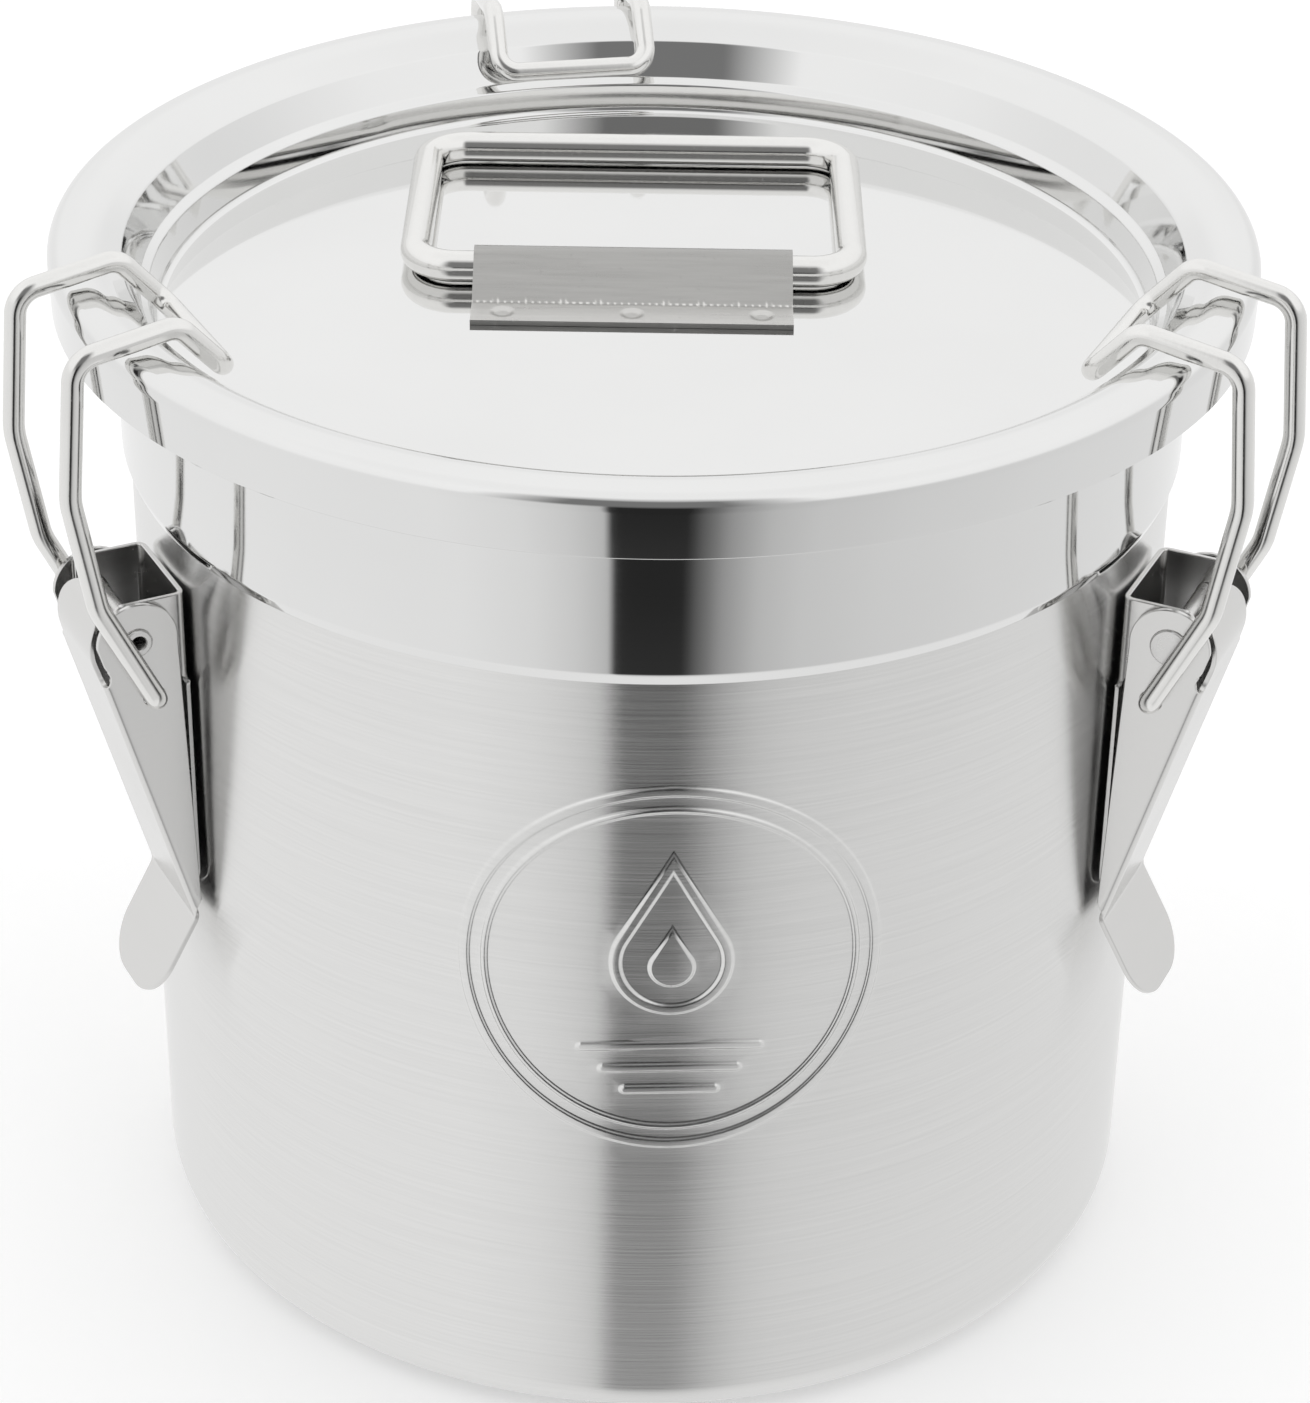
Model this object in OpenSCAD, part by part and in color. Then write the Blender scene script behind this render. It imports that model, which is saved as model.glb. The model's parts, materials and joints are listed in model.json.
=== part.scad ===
// Stainless milk can: a straight drum with a polished collar, a pressed lid with a folding wire
// handle, and three over-centre wire-bail latches. Z is up, the origin is the centre of the base.
// A latch is drawn at its own place on the +X side (x outward, y sideways) and turned to its azimuth.

/* [Drum] */
// Outside diameter of the drum
body_d = 200; // [190:1:210]
// Height of the seam where the collar begins
seam_z = 165; // [160:1:167]
// Outside radius of the corner between base and wall
base_corner = 8; // [4:1:15]
// Thickness of the drum, collar and lid sheet
sheet = 1; // [0.8:0.1:1.2]

/* [Emblem] */
// Direction the round embossed emblem faces
emblem_azimuth = -87; // [-100:1:-80]
// Outside diameter of the emblem's rim
emblem_d = 78; // [50:1:90]
// Height of the emblem's centre
emblem_z = 105; // [80:1:110]

/* [Collar] */
// How far the collar stands out from the drum
collar_step = 1.5; // [1.3:0.1:2]
// Height of the rolled rim's top
rim_top_z = 202.5; // [202:0.1:202.7]

/* [Lid] */
// Outside diameter of the lid
lid_d = 226.4; // [224:0.1:228]
// Height of the lid ring's crown
crown_z = 207.8; // [207.5:0.1:208]
// Height of the skirt's lower edge
skirt_z = 196; // [194:0.5:198]
// Height of the flat panel at the bottom of the recess
panel_z = 190.4; // [189:0.1:191]

/* [Lid handle] */
// Diameter of the handle's wire
handle_wire = 6; // [5:0.1:6.2]
// Outside width of the handle
handle_w = 90; // [80:1:94]
// Distance from the hinge line to the far bar, between centres
handle_reach = 59; // [50:1:60]
// Place of the hinge line and of the handle's middle on the lid
handle_at = [-4, 7.2]; // [-10:0.1:10]
// Width of the clip that holds the handle
clip_w = 61; // [40:1:64]

/* [Latches] */
// Directions of the left, right and back latches
latch_azimuths = [207, -24.5, 101]; // [-180:0.5:360]
// Outside width of the bracket
bracket_w = 22.4; // [22:0.1:22.6]
// Thickness of the latch sheet
latch_sheet = 1; // [0.8:0.1:1]
// Diameter of the bail's wire
bail_wire = 4; // [3.5:0.1:4.2]
// Distance between the bail's legs, between centres
bail_w = 31; // [30.8:0.1:34]
// Diameter of the rivet's shank
rivet_d = 4.5; // [4:0.1:5]

/* [Hidden] */
$fn = 96;

body_r = body_d / 2;
lid_r = lid_d / 2;
drum_top_z = seam_z + 7;
running = 0.1;   // clearance of a shaft in its hole
gap = 0.3;       // clearance between bodies that lie on each other

// Lid: radii of the recess, from the ring's inner edge down to the panel
recess = [[94, panel_z, 1.5], [95, panel_z + 5.8, 0.8], [96.6, panel_z + 6.9, 0.8]];
ring_edge = [99.6, 204.1, 1.2];
ring_top = [105.2, crown_z + 0.4, 9];
ring_corner = [lid_r + 0.1, crown_z - 0.4, 3];

// Lid handle: height of its wire above the panel
handle_z = panel_z + handle_wire / 2 + gap;

// Latch, in the plane x outward, z up
pivot = [110.4, 149];            // rivet
bail_hole = [107.8, 137];        // where the bail's ends sit in the lever
bracket_back = body_r + 0.3;
bracket_top_z = 156.4;
bracket_foot_z = 91;
ear_front = 114.2;
ear_foot_z = 140;
lever_w = bracket_w + 2 * (gap + latch_sheet);
flange_y = bracket_w / 2 + gap + latch_sheet / 2;
tab_end = [112.3, 68.4];
tab_fold = [102.2, 86];
tab_w = 23.6;
nose_r = 10.6;                   // outside radius of the lever's curled nose
nose_centre = pivot - [2.5, 2.2];
nose_end = 52;                   // direction of the nose's free edge
tongue_w = 18;                   // width of the nose
flange_r = 7.7;                  // radius of the flange's round head
slot_r = 2.1;                    // relief slots between the nose and the flanges
slot_back = 1.5;                 // how far the slots sit below the start of the nose
head_r = 3.7;                    // flat head of the rivet
rolled_r = 2.9;                  // rolled end of the rivet
rivet_head_t = 0.5;

// Bent wire: a bend is a hair thicker than the straights, which run into it by the lap
swell = 0.04;
lap = 0.1;

function unit(v) = v / norm(v);
function turned(v) = [-v.y, v.x];
function flat(p) = [p.x, p.y];

// Corner i of a path of [x, y, radius], as the points of its arc
function corner(path, i) =
    i == 0 || i == len(path) - 1 || path[i][2] == 0 ? [flat(path[i])] :
    let (
        c = flat(path[i]), r = path[i][2],
        u = unit(flat(path[i - 1]) - c), v = unit(flat(path[i + 1]) - c),
        half = acos(u * v) / 2,
        middle = c + unit(u + v) * r / sin(half),
        from = c + u * r / tan(half) - middle,
        sweep = (180 - 2 * half) * sign(turned(-u) * v),
        start = atan2(from.y, from.x),
        steps = ceil(abs(sweep) / 9)
    ) [for (k = [0:steps]) middle + r * [cos(start + sweep * k / steps), sin(start + sweep * k / steps)]];

// A path of [x, y, radius] with its corners rounded
function rounded(path) = [for (i = [0:len(path) - 1]) each corner(path, i)];

// The points beside a path, at distance t to its left
function side_normal(p, i) =
    let (
        before = i > 0 ? turned(unit(p[i] - p[i - 1])) : turned(unit(p[1] - p[0])),
        after = i < len(p) - 1 ? turned(unit(p[i + 1] - p[i])) : before,
        mitre = unit(before + after)
    ) mitre / (mitre * before);
function beside(p, t) = [for (i = [0:len(p) - 1]) p[i] + side_normal(p, i) * t];

// Outline of a bent sheet: one face follows the path, the other lies at t to its left
function bent(path, t) =
    let (other = beside(path, t), n = len(path))
    concat(path, [for (i = [n - 1:-1:0]) other[i]]);

// An arc as points
function arc(centre, r, from, to, step = 6) =
    let (n = ceil(abs(to - from) / step))
    [for (k = [0:n]) centre + r * [cos(from + (to - from) * k / n), sin(from + (to - from) * k / n)]];

module lathe(path, t) {
    rotate_extrude($fn = 180) polygon(bent(path, t));
}

// A profile in the x-z plane, made thickness wide about y
module across(y, thickness) {
    translate([0, y, 0]) rotate([90, 0, 0]) linear_extrude(thickness, center = true) children();
}

// An outline in the y-z plane, made depth long from x
module facing(x, depth) {
    translate([x, 0, 0]) rotate([90, 0, 90]) linear_extrude(depth) children();
}

// Part of v that is square to the direction along, as a unit vector
function side(v, along) = unit(v - (v * along) * along);
function heading(p, i) = unit(p[i + 1] - p[i]);
function turn(p, i) = acos(heading(p, i - 1) * heading(p, i));

// Angle about the wire between the bends at points i and i + 1
function twist(p, i) =
    let (
        along = heading(p, i),
        from = side(-heading(p, i - 1), along),
        to = side(heading(p, i + 1), along)
    ) atan2(cross(from, to) * along, from * to);

// Length that the bend at point i takes from each straight beside it
function bite(p, r, i) = i == 0 || i == len(p) - 1 ? 0 : r[i] * tan(turn(p, i) / 2);

// Wire through the points p from number i on, with bend radius r[i] at each inner point.
// It starts at the origin, runs up Z and bends first towards X.
module wire(p, r, d, i = 0) {
    length = norm(p[i + 1] - p[i]) - bite(p, r, i) - bite(p, r, i + 1);
    before = i == 0 ? 0 : lap;
    after = i == len(p) - 2 ? 0 : lap;
    translate([0, 0, -before]) cylinder(h = before + length + after, d = d);
    if (i < len(p) - 2) {
        sweep = turn(p, i + 1);
        translate([r[i + 1], 0, length]) {
            rotate([90, 0, 180]) rotate_extrude(angle = sweep) translate([r[i + 1], 0])
                circle(d = d + swell);
            rotate([0, sweep, 0]) translate([-r[i + 1], 0, 0])
                rotate([0, 0, i < len(p) - 3 ? twist(p, i + 1) : 0]) wire(p, r, d, i + 1);
        }
    }
}

module both_sides(v) {
    children();
    mirror(v) children();
}

// Emblem: two rims round a milk drop over two waves of plain ribs
module rim(r, w) {
    difference() {
        circle(r);
        circle(r - w);
    }
}

module drop(r) {
    reach = 2.1 * r;
    tilt = acos(r / reach);
    circle(r);
    polygon([[0, reach], r * [-sin(tilt), cos(tilt)], r * [sin(tilt), cos(tilt)]]);
}

module emblem_outline() {
    stroke = 1.8;
    rim(emblem_d / 2, stroke);
    rim(emblem_d / 2 - 4.2, 1);
    translate([0, 2]) difference() {
        drop(11);
        drop(11 - stroke);
    }
    translate([0, 1]) drop(4);
    for (k = [0:2]) translate([0, -17 - 4.5 * k]) square([34 - 8 * k, 1.6], center = true);
}

module emblem() {
    relief = 0.5;
    intersection() {
        rotate([0, 0, emblem_azimuth]) translate([0, 0, emblem_z])
            facing(body_r / 2, body_r) emblem_outline();
        difference() {
            cylinder(h = drum_top_z, r = body_r + relief);
            translate([0, 0, -1]) cylinder(h = drum_top_z + 2, r = body_r - sheet / 2);
        }
    }
}

module drum_shell() {
    color("gainsboro") {
        lathe(rounded([[0, 0, 0], [body_r, 0, base_corner], [body_r, drum_top_z, 0]]), sheet);
        emblem();
    }
}

// Polished band: it laps over the drum's top and rolls outward into the rim
module mouth_collar() {
    outer = body_r + collar_step;
    roll = 3.1;
    roll_centre = [outer + roll - sheet, rim_top_z - roll];
    shoulder = rounded([[body_r + 0.05 + sheet * 0.2, seam_z, 0], [outer, seam_z + 0.4, 1.6],
        [outer, seam_z + 8, 0]]);
    wall = [[outer, seam_z + 9], [outer, roll_centre.y - 4]];
    curl = arc(roll_centre, roll - sheet, 180, -60, 12);
    color("whitesmoke") {
        rotate_extrude($fn = 180) difference() {
            polygon(concat([[body_r + 0.05, seam_z]], shoulder, wall, [[outer, roll_centre.y - 1],
                [outer - sheet, roll_centre.y - 1], [outer - sheet, seam_z + 9], [body_r + 0.05, seam_z + 8]]));
            translate([0, seam_z - 2]) square([body_r + 0.05, 10]);
        }
        rotate_extrude($fn = 180) polygon(bent(concat([[outer, roll_centre.y - 1.5]], curl), sheet));
    }
}

module lid_pan() {
    path = rounded(concat([[0, panel_z, 0]], recess, [ring_edge, ring_top, ring_corner,
        [lid_r - 0.3, skirt_z, 0]]));
    color("whitesmoke") lathe(path, -sheet);
}

// Silicone ring in the lid's channel, just above the rolled rim
module lid_gasket() {
    foot_z = rim_top_z + gap;
    color("gainsboro") rotate_extrude($fn = 180)
        polygon(rounded([[104.6, foot_z, 0], [108.4, foot_z, 0.6], [109.4, foot_z + 2.2, 0.8],
            [108.6, foot_z + 3.3, 0], [104.2, foot_z + 3.1, 0], [102.4, foot_z + 1.4, 0.5], [104.6, foot_z, 0]]));
}

// Sheet strap folded over the handle's wire, its foot spot-welded to the panel
module handle_clip() {
    r = handle_wire / 2 + running + sheet;
    axle = [handle_at.y, handle_z];
    foot = panel_z + 0.05 + sheet;
    over = arc(axle, r, -25, 118, 11);
    path = concat(over, rounded([over[len(over) - 1], [-3.6, foot, 1.2], [-12, foot, 0]]));
    strap = [for (i = [0:len(path) - 1]) if (i == 0 || norm(path[i] - path[i - 1]) > 0.01) path[i]];
    color("silver") translate([handle_at.x, 0, 0]) {
        rotate([90, 0, 90]) linear_extrude(clip_w, center = true) polygon(bent(strap, sheet));
        for (x = [-1, 0, 1]) translate([x * clip_w * 0.4, -8, panel_z - 0.3]) cylinder(h = 0.8, d = 4);
    }
}

module lid_handle() {
    w = (handle_w - handle_wire) / 2;
    r = 8;
    half = [[0, 0, 0], [w, 0, 0], [w, handle_reach, 0], [0, handle_reach, 0]];
    color("gainsboro") translate([handle_at.x, handle_at.y, handle_z])
        both_sides([1, 0, 0]) rotate([90, 0, 90]) wire(half, [0, r, r, 0], handle_wire);
}

// U-shaped bracket: two ears with a flat foot that runs down the drum
module latch_bracket() {
    half = bracket_w / 2;
    front = ear_front + 1;
    plan = rounded([[front, half, 0], [bracket_back, half, 2], [bracket_back, -half, 2], [front, -half, 0]]);
    ear = rounded([[bracket_back - 1, ear_foot_z, 0], [ear_front, ear_foot_z, 4],
        [ear_front, bracket_top_z, 2], [bracket_back - 1, bracket_top_z, 0]]);
    foot = rounded([[0, bracket_foot_z, 0], [half, bracket_foot_z, 6], [half, ear_foot_z + 2, 0],
        [-half, ear_foot_z + 2, 0], [-half, bracket_foot_z, 6], [0, bracket_foot_z, 0]]);
    color("silver") difference() {
        union() {
            intersection() {
                translate([0, 0, ear_foot_z]) linear_extrude(bracket_top_z - ear_foot_z)
                    polygon(bent(plan, latch_sheet));
                across(0, 2 * bracket_w) polygon(ear);
            }
            facing(bracket_back, latch_sheet) polygon([for (i = [1:len(foot) - 1]) foot[i]]);
            for (z = [101, 119]) translate([body_r - 0.3, 0, z]) rotate([0, 90, 0]) cylinder(h = 0.8, d = 5);
        }
        across(0, 2 * bracket_w) translate(pivot) circle(d = rivet_d + 0.04);
    }
}

// Channel-shaped lever: two flanges, a sloping front with a curled nose, and a flared thumb tab
module latch_lever() {
    half = lever_w / 2;
    away = tab_fold - nose_centre;
    nose_start = atan2(away.y, away.x) + acos(nose_r / norm(away));
    nose = arc(nose_centre, nose_r, nose_start, nose_end, 7);
    out = [cos(nose_start), sin(nose_start)];
    slot = nose[0] - slot_back * turned(out) + 0.3 * out;
    path = concat(rounded([[tab_end.x, tab_end.y, 0], [tab_fold.x, tab_fold.y, 2],
        [nose[0].x, nose[0].y, 0]]), [for (i = [1:len(nose) - 1]) nose[i]]);
    nose_top = nose_centre.y + nose_r * sin(nose_end) - 0.25;
    color("silver") difference() {
        union() {
            intersection() {
                across(0, lever_w) polygon(bent(path, latch_sheet));
                facing(0, 2 * body_r) union() {
                    difference() {
                        translate([-half, tab_fold.y]) square([lever_w, slot.y - tab_fold.y]);
                        for (side = [-1, 1]) translate([side * (half - 0.9), slot.y]) circle(slot_r);
                    }
                    polygon(rounded([[-tongue_w / 2, slot.y - 1, 0], [-tongue_w / 2, nose_top, 6],
                        [tongue_w / 2, nose_top, 6], [tongue_w / 2, slot.y - 1, 0]]));
                    polygon([for (q = rounded([[0, tab_end.y - 1, 0], [tab_w / 2, tab_end.y - 1, 9],
                        [tab_w / 2, tab_fold.y + 2, 0], [-tab_w / 2, tab_fold.y + 2, 0],
                        [-tab_w / 2, tab_end.y - 1, 9], [0, tab_end.y - 1.001, 0]])) q]);
                }
            }
            for (side = [-1, 1]) across(side * flange_y, latch_sheet) difference() {
                union() {
                    translate(pivot) circle(flange_r);
                    polygon([pivot - [7.4, 1], [100.5, 91], [101.5, 88], tab_fold + [0.4, 2],
                        slot - 0.6 * out, pivot + flange_r * [cos(-48), sin(-48)], pivot]);
                }
                translate(slot) circle(slot_r);
            }
        }
        across(0, 2 * lever_w) translate(pivot) circle(d = rivet_d + 2 * running);
        across(0, 2 * lever_w) translate(bail_hole) circle(d = bail_wire + 2 * running);
    }
}

// Wire bail: its crossbar hooks into the lid's recess, its bent-in ends sit in the lever
module latch_bail() {
    half = bail_w / 2;
    hook = [91.6, 201.4];
    crest = [100.6, 211.7];
    shoulder = [119.9, 208.7];
    knee = [122.2, 182];
    elbow = [118.4, 159.4];
    leg = [for (c = [hook, crest, shoulder, knee, elbow, bail_hole]) [c.x, half, c.y]];
    path = concat([[hook.x, 0, hook.y]], leg, [[bail_hole.x, bracket_w / 2 - 1.7, bail_hole.y]]);
    lean = atan2(crest.y - hook.y, crest.x - hook.x);
    color("gainsboro") both_sides([0, 1, 0]) translate([hook.x, 0, hook.y])
        rotate([-90, -lean, 0]) wire(path, [0, 4, 4, 5, 15, 12, 3, 0], bail_wire);
}

// Tubular rivet across both ears and both flanges
module latch_rivet() {
    reach = lever_w / 2 + 0.05;
    color("silver") translate([pivot.x, 0, pivot.y]) rotate([90, 0, 0]) difference() {
        union() {
            cylinder(h = 2 * reach, d = rivet_d, center = true);
            translate([0, 0, reach]) cylinder(h = rivet_head_t, r = head_r);
            translate([0, 0, -reach - rivet_head_t]) cylinder(h = rivet_head_t, r = rolled_r);
        }
        translate([0, 0, -reach - 1]) cylinder(h = 12, d = 2.4);
    }
}

module on_drum(latch) {
    rotate([0, 0, latch_azimuths[latch]]) children();
}

module left_latch_bracket() { on_drum(0) latch_bracket(); }
module left_latch_rivet() { on_drum(0) latch_rivet(); }
module left_latch_lever() { on_drum(0) latch_lever(); }
module left_latch_bail() { on_drum(0) latch_bail(); }
module right_latch_bracket() { on_drum(1) latch_bracket(); }
module right_latch_rivet() { on_drum(1) latch_rivet(); }
module right_latch_lever() { on_drum(1) latch_lever(); }
module right_latch_bail() { on_drum(1) latch_bail(); }
module back_latch_bracket() { on_drum(2) latch_bracket(); }
module back_latch_rivet() { on_drum(2) latch_rivet(); }
module back_latch_lever() { on_drum(2) latch_lever(); }
module back_latch_bail() { on_drum(2) latch_bail(); }

drum_shell();
mouth_collar();
lid_pan();
lid_gasket();
handle_clip();
lid_handle();
left_latch_bracket();
left_latch_rivet();
left_latch_lever();
left_latch_bail();
right_latch_bracket();
right_latch_rivet();
right_latch_lever();
right_latch_bail();
back_latch_bracket();
back_latch_rivet();
back_latch_lever();
back_latch_bail();
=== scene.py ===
"""Stainless milk can: the looks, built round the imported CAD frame.

Everything is in metres in the CAD frame: Z up, the can's axis on Z, the front towards -Y.
Shapes are worked out in millimetres, like the CAD, and scaled when their mesh is made.
"""
import json
import math

import bpy
from mathutils import Matrix, Vector
from mathutils.geometry import delaunay_2d_cdt


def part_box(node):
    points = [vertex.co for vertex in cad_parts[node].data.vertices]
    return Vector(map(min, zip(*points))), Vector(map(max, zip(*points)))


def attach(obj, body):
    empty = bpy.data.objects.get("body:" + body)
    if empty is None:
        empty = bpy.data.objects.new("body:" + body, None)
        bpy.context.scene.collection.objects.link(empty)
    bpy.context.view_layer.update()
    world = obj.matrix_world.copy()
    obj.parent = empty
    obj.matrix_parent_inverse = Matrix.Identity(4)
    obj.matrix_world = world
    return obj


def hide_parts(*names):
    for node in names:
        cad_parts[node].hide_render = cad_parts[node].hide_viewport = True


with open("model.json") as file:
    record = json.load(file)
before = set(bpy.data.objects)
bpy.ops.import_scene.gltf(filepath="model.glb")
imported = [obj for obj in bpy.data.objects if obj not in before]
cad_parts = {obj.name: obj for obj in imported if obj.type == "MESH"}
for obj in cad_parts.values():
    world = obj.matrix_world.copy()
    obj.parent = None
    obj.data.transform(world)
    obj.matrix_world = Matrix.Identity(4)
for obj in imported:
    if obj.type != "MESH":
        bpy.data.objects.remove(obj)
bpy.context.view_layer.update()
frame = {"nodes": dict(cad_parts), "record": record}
MM = 0.001


# ---------------------------------------------------------------- sizes from the frame

def box_mm(node):
    low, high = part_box(node)
    return low / MM, high / MM


def joint(name):
    """Place (mm) and axis of one of the record's joints."""
    for j in frame["record"]["behaviour"]["joints"]:
        if j["name"] == name:
            return Vector(j["pos_m"]) / MM, Vector(j["axis"])
    raise KeyError(name)


BODY_R = box_mm("drum_shell")[1].x
DRUM_TOP = box_mm("drum_shell")[1].z
SEAM_Z = box_mm("mouth_collar")[0].z
RIM_TOP = box_mm("mouth_collar")[1].z
RIM_R = box_mm("mouth_collar")[1].x
LID_R = box_mm("lid_pan")[1].x
SKIRT_Z = 196.0
SHEET = 1.0
PANEL_Z = box_mm("lid_pan")[0].z + SHEET
BASE_CORNER = 8.0
COLLAR_R = BODY_R + 1.5

HINGE, _ = joint("handle_fold")
HANDLE_LOW, HANDLE_HIGH = box_mm("lid_handle")
HANDLE_WIRE = HANDLE_HIGH.z - HANDLE_LOW.z
HANDLE_BEND = 8.0
CLIP_LOW, CLIP_HIGH = box_mm("handle_clip")

BRACKET_W = 22.4
LEVER_W = 25.0
BAIL_WIRE = 4.0
BAIL_W = 31.0
RIVET_D = 4.5
SIDES = ("left", "right", "back")


def latch_azimuth(side):
    _, axis = joint(side + "_lever_swing")
    return math.atan2(axis.x, -axis.y)


def radial(place):
    return Vector((math.hypot(place.x, place.y), place.z))


PIVOT = radial(joint("left_lever_swing")[0])
BAIL_HOLE = radial(joint("left_bail_turn")[0])


# ---------------------------------------------------------------- outlines

def arc(cx, cy, r, start, end, step=4.0):
    """Points of an arc, in degrees."""
    n = max(2, math.ceil(abs(end - start) / step))
    angles = [math.radians(start + (end - start) * k / n) for k in range(n + 1)]
    return [(cx + r * math.cos(a), cy + r * math.sin(a)) for a in angles]


def rounded(path, step=4.0):
    """Corners [x, y, radius] turned into arcs."""
    out = []
    for i, (x, y, r) in enumerate(path):
        if i in (0, len(path) - 1) or r == 0:
            out.append((x, y))
            continue
        c = Vector((x, y))
        u = (Vector(path[i - 1][:2]) - c).normalized()
        v = (Vector(path[i + 1][:2]) - c).normalized()
        half = u.angle(v) / 2
        middle = c + (u + v).normalized() * (r / math.sin(half))
        start = c + u * (r / math.tan(half)) - middle
        turn = (math.pi - 2 * half) * (1 if v.x * u.y - v.y * u.x > 0 else -1)
        n = max(2, math.ceil(abs(math.degrees(turn)) / step))
        for k in range(n + 1):
            p = middle + Matrix.Rotation(turn * k / n, 2) @ start
            out.append((p.x, p.y))
    return out


def beside(path, t):
    """The path moved t to its left."""
    points = [Vector(p) for p in path]
    out = []
    for i, p in enumerate(points):
        a = (p - points[i - 1]).normalized() if i else (points[1] - p).normalized()
        b = (points[i + 1] - p).normalized() if i < len(points) - 1 else a
        na, nb = Vector((-a.y, a.x)), Vector((-b.y, b.x))
        m = (na + nb).normalized()
        out.append(tuple(p + m * (t / m.dot(na))))
    return out


def spaced(low, high, step):
    n = max(1, round((high - low) / step))
    return [low + (high - low) * k / n for k in range(n + 1)]


def smooth(a, b, x):
    t = min(1.0, max(0.0, (x - a) / (b - a)))
    return t * t * (3 - 2 * t)


# ---------------------------------------------------------------- meshes

def make(name, verts, faces, material, slot, body, stands_for=(), sharp=35, turn=0.0):
    """A mesh piece from points in mm, turned about Z, riding on a CAD body."""
    mesh = bpy.data.meshes.new(name)
    mesh.from_pydata([Vector(v) * MM for v in verts], [], faces)
    mesh.transform(Matrix.Rotation(turn, 4, "Z"))
    return finish(bpy.data.objects.new(name, mesh), material, body, stands_for, sharp)


def finish(obj, material, body, stands_for=(), sharp=35):
    if obj.name not in bpy.context.scene.collection.objects:
        bpy.context.scene.collection.objects.link(obj)
    mesh = obj.data
    mesh.materials.clear()
    mesh.materials.append(material)
    mesh.polygons.foreach_set("use_smooth", [True] * len(mesh.polygons))
    mesh.set_sharp_from_angle(angle=math.radians(sharp))
    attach(obj, body)
    if stands_for:
        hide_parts(*stands_for)
    return obj


def lathe(loop, angles=None):
    """Verts and faces of a closed (r, z) loop turned about Z. Points on the axis are shared."""
    angles = angles or [2 * math.pi * k / 288 for k in range(288)]
    verts, rings = [], []
    for r, z in loop:
        if r < 1e-6:
            verts.append((0, 0, z))
            rings.append([len(verts) - 1] * len(angles))
            continue
        ring = []
        for a in angles:
            verts.append((r * math.cos(a), r * math.sin(a), z))
            ring.append(len(verts) - 1)
        rings.append(ring)
    faces = []
    n = len(angles)
    pairs = list(zip(rings, rings[1:] + rings[:1]))
    for low, high in pairs:
        if low[0] == low[1] and high[0] == high[1]:
            continue
        for k in range(n):
            j = (k + 1) % n
            face = [low[k], low[j], high[j], high[k]]
            faces.append(tuple(dict.fromkeys(face)))
    return verts, faces


def tube(path, d, closed=False, sides=28, cap=0.35):
    """A round wire along points, with chamfered ends."""
    pts = [Vector(p) for p in path]
    n = len(pts)
    tangents = []
    for i in range(n):
        a = pts[i] - pts[i - 1] if (i or closed) else pts[1] - pts[0]
        b = pts[(i + 1) % n] - pts[i] if (i < n - 1 or closed) else a
        tangents.append((a.normalized() + b.normalized()).normalized())
    normal = tangents[0].orthogonal().normalized()
    verts, rings = [], []

    def ring(centre, t, normal, r):
        side = t.cross(normal)
        turn = [2 * math.pi * k / sides for k in range(sides)]
        start = len(verts)
        verts.extend(centre + (normal * math.cos(a) + side * math.sin(a)) * r for a in turn)
        rings.append(list(range(start, start + sides)))

    r = d / 2
    if not closed:
        ring(pts[0], tangents[0], normal, r - cap)
    for i in range(n):
        if i:
            normal = tangents[i - 1].rotation_difference(tangents[i]) @ normal
        shift = tangents[i] * (cap if i == 0 else -cap if i == n - 1 else 0)
        ring(pts[i] + (shift if not closed else Vector()), tangents[i], normal, r)
    if not closed:
        ring(pts[-1], tangents[-1], normal, r - cap)
    faces = []
    for low, high in zip(rings, rings[1:] + (rings[:1] if closed else [])):
        twist = 0
        if closed and high is rings[0]:
            gaps = [(verts[low[0]] - verts[h]).length for h in high]
            twist = gaps.index(min(gaps))
        for k in range(sides):
            j = (k + 1) % sides
            faces.append((low[k], low[j], high[(j + twist) % sides], high[(k + twist) % sides]))
    if not closed:
        faces.append(tuple(rings[0][::-1]))
        faces.append(tuple(rings[-1]))
    return verts, faces


def rounded_wire(corners, radii, step=5.0):
    """Centre line through corners, with arcs of the given radii."""
    pts = [Vector(c) for c in corners]
    n = len(pts)
    out = []
    for i, c in enumerate(pts):
        r = radii[i]
        if r == 0:
            out.append(c)
            continue
        u = (pts[i - 1] - c).normalized()
        v = (pts[(i + 1) % n] - c).normalized()
        half = u.angle(v) / 2
        middle = c + (u + v).normalized() * (r / math.sin(half))
        start = c + u * (r / math.tan(half)) - middle
        axis = v.cross(u).normalized()
        turn = math.pi - 2 * half
        count = max(3, math.ceil(math.degrees(turn) / step))
        for k in range(count + 1):
            out.append(middle + Matrix.Rotation(turn * k / count, 3, axis) @ start)
    return out


def inside(p, loop):
    """Is the 2-D point inside the closed loop?"""
    x, y = p
    hit = False
    for (x1, y1), (x2, y2) in zip(loop, loop[1:] + loop[:1]):
        if (y1 > y) != (y2 > y) and x < (x2 - x1) * (y - y1) / (y2 - y1) + x1:
            hit = not hit
    return hit


def near(p, loop, gap):
    for (x1, y1), (x2, y2) in zip(loop, loop[1:] + loop[:1]):
        dx, dy = x2 - x1, y2 - y1
        size = dx * dx + dy * dy
        t = 0 if size == 0 else min(1, max(0, ((p[0] - x1) * dx + (p[1] - y1) * dy) / size))
        if math.hypot(p[0] - x1 - t * dx, p[1] - y1 - t * dy) < gap:
            return True
    return False


def denser(loop, step):
    """The closed loop with points at most a step apart."""
    out = []
    loop = [p for k, p in enumerate(loop) if math.dist(p, loop[k - 1]) > 0.1]
    for (x1, y1), (x2, y2) in zip(loop, loop[1:] + loop[:1]):
        n = max(1, math.ceil(math.hypot(x2 - x1, y2 - y1) / step))
        out += [(x1 + (x2 - x1) * k / n, y1 + (y2 - y1) * k / n) for k in range(n)]
    return out


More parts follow.
